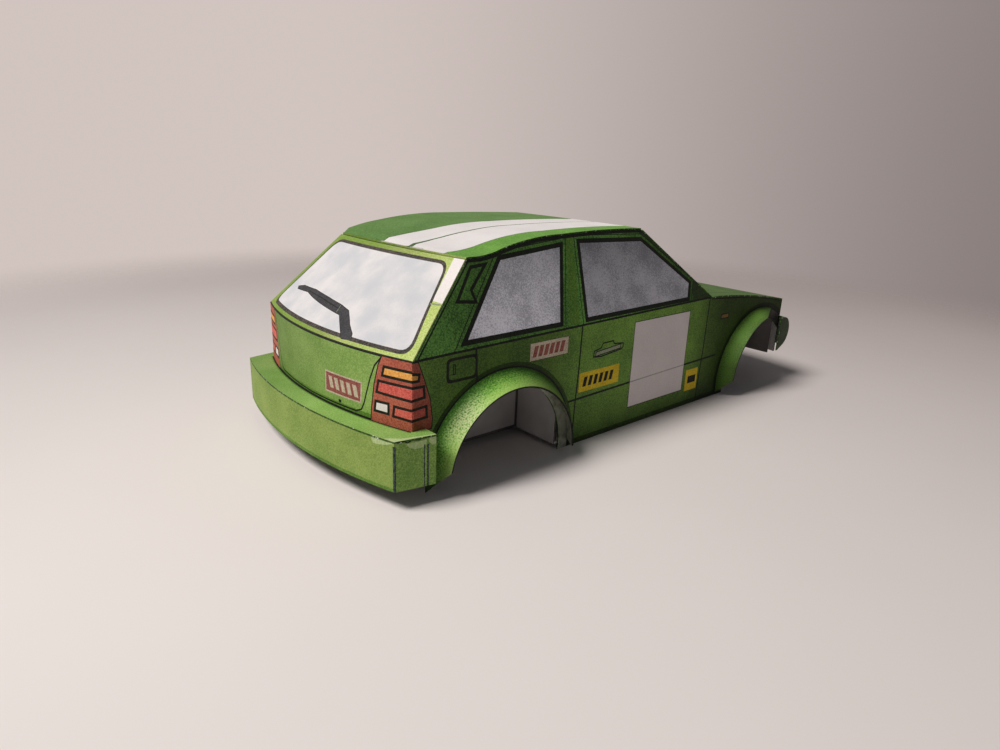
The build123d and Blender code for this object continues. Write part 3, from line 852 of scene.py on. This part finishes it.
right_side, left_side = roof_side(-1), roof_side(1)
roof_outline = right_side + roof_end(windscreen, right_side[-1], left_side[-1])
roof_outline += left_side[::-1] + roof_end(rear_window, left_side[0], right_side[0])
roof_green = printed_ink("roof_green", (0.07, 0.165, 0.033), (0.135, 0.26, 0.072))
roof_band = printed_ink("roof_band", (0.075, 0.22, 0.025), (0.18, 0.39, 0.07))
stripe_line = printed_ink("stripe_line", (0.025, 0.07, 0.018), (0.08, 0.16, 0.05))
stripe_white = printed_ink("stripe_white", (0.7, 0.67, 0.655), (0.82, 0.79, 0.775), 0.2)
ROOF_PRINTS = [
    (roof_band, STRIPE_RIGHT + [(PAST_FRONT, PAST_RIGHT), (PAST_REAR, PAST_RIGHT)]),
    (stripe_line, grown(STRIPE_LEFT + STRIPE_RIGHT[::-1], 0.17)),
    (stripe_white, STRIPE_LEFT + STRIPE_RIGHT[::-1]),
    (stripe_line, STRIPE_MIDDLE),
    (shade_green, stroke(TAIL_CREASE, 0.12)),
]


def roof_rim(x, y):
    """The rear edge is coloured like the panel below it, the others are worn."""
    return lime if x < ROOF_REAR + 0.1 else worn_edge


sheet = card_sheet(
    roof_outline, ROOF_PRINTS, lambda x, y: (x, y, roof_height(x, y)),
    roof_green, white_card, roof_rim, creases=rows_along(ROOF_REAR, ROOF_FRONT, 0.7, 20.0),
)
make_piece("roof_print", [sheet], "roof")


# The rear panel hangs upright from the belt fold and is bowed between the body's corners. Lamp
# clusters are printed on it in three rows and wrap round both corners; the tailgate is a line.
LAMP_FRAME = [(14.85, 17.6), (14.27, 16.4), (13.57, 13.88), (13.05, 10.62), (12.89, 8.6), (20.5, 8.6)]
LAMP_FRAME += [(20.5, 17.6)]
LAMP_CELLS = [
    (lamp_amber, [(15.22, 16.2), (20.5, 16.27), (20.5, 15.48), (15.04, 15.4)]),
    (lamp_red, [(14.34, 14.24), (20.5, 14.36), (20.5, 13.0), (14.1, 13.1)]),
    (panel_white, [(13.84, 11.52), (15.55, 11.6), (15.54, 10.64), (13.72, 10.6)]),
    (lamp_red, [(16.76, 11.48), (20.5, 11.5), (20.5, 10.48), (16.65, 10.56)]),
]
TAILGATE = [(14.7, 17.45), (13.6, 16.2), (12.84, 14.44), (12.2, 12.5), (11.69, 10.9), (11.2, 9.95)]
TAILGATE += [(10.2, 9.5)]
THIN_LINE = 0.22
TAIL_STICKER = [(-3.8, 10.55), (-3.9, 13.47), (-11.4, 13.57), (-11.2, 10.7)]
TAIL_MARKS = ((-10.7, 11.3), (-4.5, 12.85))
LOCK = oblong((-7.3, 9.75), (-6.7, 10.15))
SKIRT_SHADE = [(-20, 2), (20, 2), (20, 9.7), (0, 9.75), (-20, 9.7)]
BELT_SHADE, SHELF_SHADE = [(-20.0, 17.66), (20.0, 17.66)], [(-20.0, 9.05), (20.0, 9.05)]
TAIL_FADES = {"Y": [(-19.0, 1.0), (-11.0, 1.0), (-5.0, 0.86), (0.0, 0.78), (14.0, 0.63), (19.0, 0.6)]}
tail_green = printed_ink(
    "tail_green", (0.185, 0.33, 0.066), (0.335, 0.5, 0.138), cloud=0.6, fades=TAIL_FADES,
)
tail_shade = printed_ink("tail_shade", (0.07, 0.16, 0.02), (0.16, 0.3, 0.05), cloud=0.6)


def mirrored(shape):
    return [(-y, z) for y, z in shape]


def rear_panel(y, z):
    return (TAIL - bowed(y, BODY_HALF, TAIL_BOW), y, z)


gate_line = mirrored(TAILGATE) + [(0.0, 9.35)] + TAILGATE[::-1]
TAIL_PRINTS = [
    (tail_shade, SKIRT_SHADE),
    *lines(THIN_LINE, gate_line),
    (cream, TAIL_STICKER),
    (sticker_red, grown(TAIL_STICKER, -0.2)),
    *slanted_marks(cream, *TAIL_MARKS, count=5, lean=0.4, gap=0.5),
    (line_black, LOCK),
    *lines(0.28, BELT_SHADE),
    *lines(0.24, SHELF_SHADE),
]
for flip in (list, mirrored):
    TAIL_PRINTS += lined(lamp_orange, flip(LAMP_FRAME), 0.16)
    for ink, cell in LAMP_CELLS:
        TAIL_PRINTS += lined(ink, flip(cell), LAMP_RING)
sheet = card_sheet(
    oblong((-BODY_HALF, TAIL_SKIRT), (BODY_HALF, BELT_REAR)), TAIL_PRINTS, rear_panel,
    tail_green, white_card, worn_edge, creases=bow_lines, turn=-1,
)
make_piece("rear_panel_print", [sheet], "rear_panel")


# The bonnet is a gently crowned sheet from the windscreen to the nose, plain green between two
# printed shut lines.
NOSE_BOW = 2.5
across_body = spaced(BODY_HALF, -BODY_HALF, 24)
bonnet_outline = [(SCREEN + bowed(y, BODY_HALF, SCREEN_BOW), y) for y in across_body]
bonnet_outline += [(NOSE + bowed(y, BODY_HALF, NOSE_BOW), y) for y in reversed(across_body)]
BONNET_SHUT = [[(66.0, side * 16.6), (80.0, side * 16.2), (91.0, side * 15.6)] for side in SIDES.values()]
bonnet_green = printed_ink("bonnet_green", (0.033, 0.076, 0.016), (0.082, 0.156, 0.038))
sheet = card_sheet(
    bonnet_outline, lines(THIN_LINE, *BONNET_SHUT), lambda x, y: (x, y, bonnet_line(x)),
    bonnet_green, white_card, worn_edge, creases=rows_along(SCREEN, NOSE + NOSE_BOW, 1.0, 30.0),
)
make_piece("bonnet_print", [sheet], "bonnet")


# The front panel stands upright under the bonnet's front fold. Rectangular lamps and a slatted
# grille are printed on the band that shows above the bumper.
NOSE_SKIRT = 5.0
GRILLE = oblong((-9.2, 12.55), (9.2, 14.75))
SLAT_HEIGHTS, SLAT_WIDTH = (12.85, 13.3, 13.75, 14.2), 0.16
HEADLAMP = oblong((9.9, 12.5), (16.9, 14.75))
CORNER_LAMP = oblong((17.4, 12.6), (18.7, 14.6))


def front_panel(y, z):
    return (NOSE + bowed(y, BODY_HALF, NOSE_BOW), y, z)


nose_top = [(y, bonnet_line(front_panel(y, 0.0)[0]) - CARD) for y in across_body]
lamp_glass = printed_ink("lamp_glass", (0.42, 0.43, 0.45), (0.7, 0.7, 0.7), cloud=0.6)
NOSE_PRINTS = [(line_black, GRILLE)]
NOSE_PRINTS += [(shade_green, oblong((-9.0, z), (9.0, z + SLAT_WIDTH))) for z in SLAT_HEIGHTS]
for flip in (list, mirrored):
    NOSE_PRINTS.append((line_black, rounded(flip(grown(HEADLAMP, 0.2)), 0.5)))
    NOSE_PRINTS.append((lamp_glass, rounded(flip(HEADLAMP), 0.4)))
    NOSE_PRINTS.append((lamp_amber, flip(CORNER_LAMP)))
sheet = card_sheet(
    [(-BODY_HALF, NOSE_SKIRT), (BODY_HALF, NOSE_SKIRT)] + nose_top, NOSE_PRINTS, front_panel,
    bonnet_green, white_card, worn_edge, creases=bow_lines,
)
make_piece("front_panel_print", [sheet], "front_panel")


# The rear bumper is one folded strip: a bowed face, two short ends that splay out towards the
# wheels, and a shelf glued to the rear panel. Its right top corner is worn down to pale card.
BUMPER_BOW, BUMPER_HALF = 3.0, 20.4
BUMPER_ENDS, BUMPER_ENDS_HALF = 5.3, 21.4
BUMPER_LOW, BUMPER_HIGH = 2.5, 9.0
FACE_SHADE = 2.95
end_run = math.hypot(BUMPER_ENDS, BUMPER_ENDS_HALF - BUMPER_HALF)
bow_radius = (BUMPER_HALF ** 2 + BUMPER_BOW ** 2) / (2 * BUMPER_BOW)
face_run = bow_radius * math.asin(BUMPER_HALF / bow_radius)
strip_end = face_run + end_run


def bumper_strip(run, z):
    side = math.copysign(1, run)
    if abs(run) < face_run:
        y = bow_radius * math.sin(run / bow_radius)
        return (-bowed(y, BUMPER_HALF, BUMPER_BOW), y, z)
    share = (abs(run) - face_run) / end_run
    return (share * BUMPER_ENDS, side * (BUMPER_HALF + share * (BUMPER_ENDS_HALF - BUMPER_HALF)), z)


def on_face(shape):
    """A shape on the face, with y as its distance along the strip from the middle."""
    return [(bow_radius * math.asin(y / bow_radius), z) for y, z in shape]


def on_end(shape):
    """A shape on the right end, measured from the fold."""
    return [(-face_run - x, z) for x, z in shape]


bumper_green = printed_ink("bumper_green", (0.175, 0.28, 0.056), (0.3, 0.4, 0.1), cloud=0.6)
end_green = printed_ink("end_green", (0.125, 0.25, 0.05), (0.3, 0.46, 0.108), cloud=0.6)
SHELF_FADES = {"Y": [(-19.0, 1.0), (-4.0, 1.0), (3.0, 0.8), (19.0, 0.75)]}
shelf_green = printed_ink("shelf_green", (0.16, 0.33, 0.055), (0.31, 0.48, 0.14), fades=SHELF_FADES)
fold_navy = printed_ink("fold_navy", (0.012, 0.025, 0.02), (0.08, 0.11, 0.1), 0.8)
torn_green = printed_ink("torn_green", (0.33, 0.46, 0.17), (0.52, 0.62, 0.32), 0.4)
TORN_FACE = [(-16.95, 8.9), (-17.0, 8.4), (-17.3, 8.05), (-18.0, 8.1), (-18.9, 8.25), (-19.6, 8.5)]
TORN_FACE += [(-20.2, 8.72), (-20.35, 9.2), (-18.0, 9.2)]
TORN_END = [[(1.5, 8.5), (1.9, 7.95), (2.7, 7.6), (3.6, 7.7), (4.1, 8.05), (4.15, 8.6), (3.0, 8.5)]]
TORN_END += [[(4.5, 9.2), (4.45, 8.2), (4.9, 7.75), (5.5, 7.9), (5.5, 9.2)]]
RAGGED = [(0.4, 8.75), (1.0, 8.95), (1.7, 8.6), (2.3, 8.85), (3.1, 8.7), (3.9, 8.95), (4.7, 8.85)]
FOLD_MARKS = [
    dict(past_fold=-0.02, top=8.4, width=0.42),
    dict(past_fold=3.85, top=8.0, width=0.16),
    dict(past_fold=4.3, top=8.0, width=0.26),
]
STRIP_PRINTS = [
    (end_green, oblong((-strip_end - 1, 0), (-face_run, 10))),
    (end_green, oblong((face_run, 0), (strip_end + 1, 10))),
    (tail_shade, oblong((-face_run, 0), (face_run, FACE_SHADE))),
    (torn_green, on_face(TORN_FACE)),
    *((torn_green, on_end(patch)) for patch in TORN_END),
    *lines(0.14, on_end(RAGGED)),
]
for side in SIDES.values():
    for mark in FOLD_MARKS:
        run = side * (face_run + mark["past_fold"])
        STRIP_PRINTS.append((fold_navy, stroke([(run, 0), (run, mark["top"])], mark["width"])))
strip_rows = rows_along(-face_run, face_run, face_run / 16, 20.0)
strip = card_sheet(
    oblong((-strip_end, BUMPER_LOW), (strip_end, BUMPER_HIGH - CARD)), STRIP_PRINTS, bumper_strip,
    bumper_green, white_card, worn_edge, creases=strip_rows, turn=-1,
)
across_face = spaced(BUMPER_HALF, -BUMPER_HALF, 24)
shelf_outline = [(BUMPER_ENDS, BUMPER_ENDS_HALF)]
shelf_outline += [(-bowed(y, BUMPER_HALF, BUMPER_BOW), y) for y in across_face]
shelf_outline += [(BUMPER_ENDS, -BUMPER_ENDS_HALF), (BUMPER_ENDS, -BODY_HALF)]
shelf_outline += [rear_panel(y, 0.0)[:2] for y in reversed(across_body)]
shelf_outline += [(BUMPER_ENDS, BODY_HALF)]
TORN_SHELF = [(-0.9, -16.4), (-0.5, -18.7), (0.4, -19.3), (1.2, -20.0), (2.2, -20.3), (5.3, -21.2)]
TORN_SHELF += [(5.3, -21.8), (-0.5, -21.0)]
junction = [(rear_panel(y, 0.0)[0] - 0.1, y) for y in across_body]
SHELF_PRINTS = [
    (tail_shade, stroke(junction, 0.7)),
    *lines(0.3, junction),
    (torn_green, TORN_SHELF),
]
shelf = card_sheet(
    shelf_outline, SHELF_PRINTS, lambda x, y: (x, y, BUMPER_HIGH), shelf_green, white_card, worn_edge,
)
make_piece("rear_bumper_print", [strip, shelf], "rear_bumper")


# The front bumper is a strip rolled round from its top edge to its lip and bowed across the nose,
# with two flat ends that reach back to the front wheels.
ROLL_FOLD, ROLL_BOW = 92.0, 2.8
ROLL_RADIUS, ROLL_LIP = 2.85, math.radians(-75.0)
ROLL_TOP, ROLL_LOW = 12.25, 5.9
ROLL_ENDS, ROLL_ENDS_HALF = 87.4, 20.9
roll_bow_radius = (BUMPER_HALF ** 2 + ROLL_BOW ** 2) / (2 * ROLL_BOW)
roll_centre = ROLL_FOLD + ROLL_BOW - roll_bow_radius
ROLL_REACH = 22.0
NOSE_LINE = [(-ROLL_REACH, 5.9), (ROLL_REACH, 5.9)]
NOSE_LAMPS = [oblong((low, 3.4), (low + 5.0, 4.8)) for low in (-17.5, 12.5)]
roll_turns = spaced(0.0, ROLL_RADIUS * (math.pi / 2 - ROLL_LIP), 20)


def roll_end(x):
    """How far out the flat end stands at a station."""
    return BUMPER_HALF + (ROLL_ENDS_HALF - BUMPER_HALF) * (ROLL_FOLD - x) / (ROLL_FOLD - ROLL_ENDS)


def rolled_face(y, run):
    """run is measured round the roll from its lip."""
    angle = ROLL_LIP + run / ROLL_RADIUS
    reach = roll_bow_radius - ROLL_RADIUS + ROLL_RADIUS * math.cos(angle)
    x = roll_centre + math.sqrt(reach * reach - y * y)
    return (x, y, ROLL_TOP - ROLL_RADIUS + ROLL_RADIUS * math.sin(angle))


rolled = [rolled_face(BUMPER_HALF, run) for run in roll_turns]
rolled = [rolled_face(roll_end(x), run) for (x, _, _), run in zip(rolled, roll_turns)]
profile = [(ROLL_ENDS, ROLL_LOW)] + [(x, z) for x, _, z in rolled] + [(ROLL_ENDS, ROLL_TOP)]
roll_edge = [(roll_end(x), run) for (x, _, _), run in zip(rolled, roll_turns)]
roll_outline = roll_edge + [(-y, run) for y, run in reversed(roll_edge)]
roll_rows = rows_along(-20.0, 20.0, 1.25, 12.0)
roll_rows += [[(-ROLL_REACH, run), (ROLL_REACH, run)] for run in roll_turns[1:-1]]
nose_green = printed_ink("nose_green", (0.025, 0.045, 0.02), (0.08, 0.115, 0.055), cloud=0.9)
ROLL_PRINTS = lines(0.24, NOSE_LINE)
ROLL_PRINTS += [(lamp_orange, rounded(shape, 0.3)) for shape in NOSE_LAMPS]
roll_pieces = [
    card_sheet(roll_outline, ROLL_PRINTS, rolled_face, nose_green, white_card, worn_edge, roll_rows),
]
for side in SIDES.values():
    end = card_sheet(
        profile, [], lambda x, z: (x, side * roll_end(x), z),
        nose_green, white_card, worn_edge, turn=-side,
    )
    roll_pieces.append(end)
make_piece("front_bumper_print", roll_pieces, "front_bumper")


# Each wheel arch has a flare: a cone of card that stands on the body side and narrows to its lip.
# The print runs from dark green at the foot to yellow green at the lip, with a fine grain. A pale
# grained painted highlight lies over the back of the rear arch, and each flare is darkened round
# its arch as painted shade.
FLARE_REACH = 2.85
FLARE_HIGHLIGHT = (0.82, 0.92, 0.48, 1.0)
HIGHLIGHT_MIDDLE, HIGHLIGHT_SPREAD = 134.0, 27.0
FLARE_TABLE = {
    "rear": dict(
        axle=REAR_AXLE, foot=REAR_FOOT, lip=11.0, rear_leg=(0.3, 3.5), front_leg=(0.4, 1.5),
        taper=(40.0, 40.0), inside=flare_inside, pale=0.9,
        inks=[
            (0.0, (0.07, 0.21, 0.035)), (0.3, (0.165, 0.44, 0.06)), (0.6, (0.3, 0.62, 0.1)),
            (1.0, (0.48, 0.74, 0.18)),
        ],
        # painted shade: darker where the flare faces forward, away from the lamp, and low on the rear leg
        tones=[
            (50, 0.3), (60, 0.3), (70, 0.42), (80, 0.58), (90, 0.76), (104, 0.92), (118, 1.0), (146, 1.0),
            (153, 0.82), (160, 0.56), (168, 0.4), (174, 0.28), (178, 0.12),
        ],
    ),
    "front": dict(
        axle=FRONT_AXLE, foot=FRONT_FOOT, lip=11.6, rear_leg=(0.4, 3.2), front_leg=(0.4, 3.2),
        taper=(86.3, 79.8), inside=front_inside, pale=0.0,
        inks=[
            (0.0, (0.08, 0.18, 0.03)), (0.35, (0.165, 0.35, 0.05)), (0.65, (0.14, 0.29, 0.047)),
            (1.0, (0.1, 0.175, 0.042)),
        ],
        # painted shade: the front flare is darkened for the lamp's light falling off towards the nose
        tones=[
            (70, 0.15), (90, 0.22), (105, 0.62), (120, 0.68), (135, 1.0), (150, 0.88), (165, 0.5),
            (185, 0.45),
        ],
    ),
}
TURN_SCALE = 12.0
FLARE_DOT, FLARE_CLOUD = 0.22, 2.5
LIP_LINE = 0.09
BEND_STEP = 0.8


def flare_print(name, slant, inks, tones, pale):
    """Print of one flare: inks foot to lip, painted shade round the arch, painted highlight on top."""
    material, shader, place = new_finish(name)
    flat = place.add("ShaderNodeUVMap", {"uv_map": "flat_print"})
    turn = place.add("ShaderNodeSeparateXYZ", {}, {0: flat}, output="X") * math.degrees(1.0 / TURN_SCALE)
    reach = place.add("ShaderNodeSeparateXYZ", {}, {0: flat}, output="Y") * (1.0 / slant)
    dots = place.noise(flat, FLARE_DOT, 2.0) - 0.5
    drift = place.noise(flat, FLARE_CLOUD, 3.0) - 0.5
    across = (reach + 2.3 * dots + 0.6 * drift).between(-0.2, 1.2)
    colour = place.add("ShaderNodeValToRGB", {"stops": inks}, {"Fac": across})
    # Painted highlight: a pale grained patch over the back of the rear arch, between foot and lip.
    away = turn.math("ABSOLUTE", turn - HIGHLIGHT_MIDDLE, 0.0)
    highlight_band = (1 - away.between(0.0, HIGHLIGHT_SPREAD)) * reach.between(0.1, 0.55)
    colour = (pale * highlight_band * (0.7 + 4.0 * dots).between(0.05, 1.1)).mix(colour, FLARE_HIGHLIGHT)
    colour = faded(turn, tones).scaled(colour)
    wire(colour, shader, "Base Color")
    wire(0.58 + 0.2 * dots, shader, "Roughness")
    shader.inputs["Specular IOR Level"].default_value = INK_GLOSS
    card_tooth(shader, place, 0.35)
    return material


def cone(arch, side, slant):
    """Bend of one flare: turn along the arch times a fixed radius, and slant from foot to lip."""
    def bend(turn, reach):
        radius = arch["foot"] - (arch["foot"] - arch["lip"]) * reach / slant
        angle = turn / TURN_SCALE
        y = side * (BODY_HALF + FLARE_REACH * reach / slant)
        return (arch["axle"][0] + radius * math.cos(angle), y, arch["axle"][1] + radius * math.sin(angle))

    return bend


def flare_outline(arch, slant):
    """Flat sheet of one flare; its legs' ends slope from foot to lip, and the front one tapers out."""
    ends = ([], [])
    spans = ((arch["foot"], arch["lip"]), arch["rear_leg"], arch["front_leg"], arch["taper"])
    for share in spaced(0.0, 1.0, 6):
        radius, rear, front, taper = (low + (high - low) * share for low, high in spans)
        first = math.asin((front - arch["axle"][1]) / radius)
        first = max(first, math.acos(min((taper - arch["axle"][0]) / radius, 1.0)))
        last = math.pi - math.asin((rear - arch["axle"][1]) / radius)
        ends[0].append((first * TURN_SCALE, slant * share))
        ends[1].append((last * TURN_SCALE, slant * share))
    return ends[1] + ends[0][::-1]


for place_name, arch in FLARE_TABLE.items():
    slant = math.hypot(FLARE_REACH, arch["foot"] - arch["lip"])
    ink = flare_print(f"{place_name}_flare_ink", slant, arch["inks"], arch["tones"], arch["pale"])
    lip_line = oblong((-10, slant - LIP_LINE), (60, slant + 1))
    creases = [[(BEND_STEP * i, -1.0), (BEND_STEP * i, slant + 1.0)] for i in range(-8, 60)]
    for name, side in SIDES.items():
        sheet = card_sheet(
            flare_outline(arch, slant), [(line_black, lip_line)], cone(arch, side, slant),
            ink, arch["inside"], line_black, creases=creases, turn=-side,
        )
        node = f"{place_name}_flare_{name}"
        make_piece(f"{node}_print", [sheet], node)


# Each wheel space is lined with one strip of white card, folded into two bulkheads and a wall. The
# card is painted grey at the rear and near black at the front as painted shade, and its folds and
# lower edge are painted darker still as painted shade.
WELL_OUTER, WELL_INNER, WELL_TOP = 18.9, 10.5, 13.0
WELL_FLOOR = 0.9
FLOOR_SHADE, FOLD_SHADE = 0.45, 0.5
rear_lining = plain_board("rear_lining", (0.36, 0.34, 0.33), (0.49, 0.47, 0.46), 0.75)
front_lining = plain_board("front_lining", (0.13, 0.115, 0.11), (0.22, 0.2, 0.19), 0.75)
lining_seam = plain_board("lining_seam", (0.06, 0.056, 0.053), (0.16, 0.15, 0.145), 0.8)
WELLS = {
    "rear": dict(back=8.0, front=28.4, back_low=TAIL_SKIRT, front_low=WELL_FLOOR, card=rear_lining),
    "front": dict(back=72.2, front=87.8, back_low=WELL_FLOOR, front_low=NOSE_SKIRT, card=front_lining),
}
for place_name, well in WELLS.items():
    lining = well["card"]
    depth = WELL_OUTER - WELL_INNER - CARD
    length = well["front"] - well["back"] - 2 * CARD
    folds = (depth, depth + length)
    low = (well["back_low"], WELL_FLOOR, well["front_low"])
    whole = 2 * depth + length
    outline = [(0, low[0]), (folds[0], low[0]), (folds[0], low[1]), (folds[1], low[1])]
    outline += [(folds[1], low[2]), (whole, low[2]), (whole, WELL_TOP), (0, WELL_TOP)]
    creases = [[(fold, 0.0), (fold, WELL_TOP + 1.0)] for fold in folds]
    seams = [(lining_seam, stroke(crease, FOLD_SHADE)) for crease in creases]
    seams.append((lining_seam, oblong((folds[0], 0.0), (folds[1], WELL_FLOOR + FLOOR_SHADE))))
    for name, side in SIDES.items():
        def fold_lining(run, z):
            if run < folds[0]:
                return (well["back"] + CARD, side * (WELL_OUTER - run), z)
            if run < folds[1]:
                return (well["back"] + CARD + run - folds[0], side * (WELL_INNER + CARD), z)
            return (well["front"] - CARD, side * (WELL_INNER + CARD + run - folds[1]), z)

        sheet = card_sheet(outline, seams, fold_lining, lining, lining, lining_seam, creases, turn=-side)
        node = f"{place_name}_wheel_well_{name}"
        make_piece(f"{node}_print", [sheet], node)
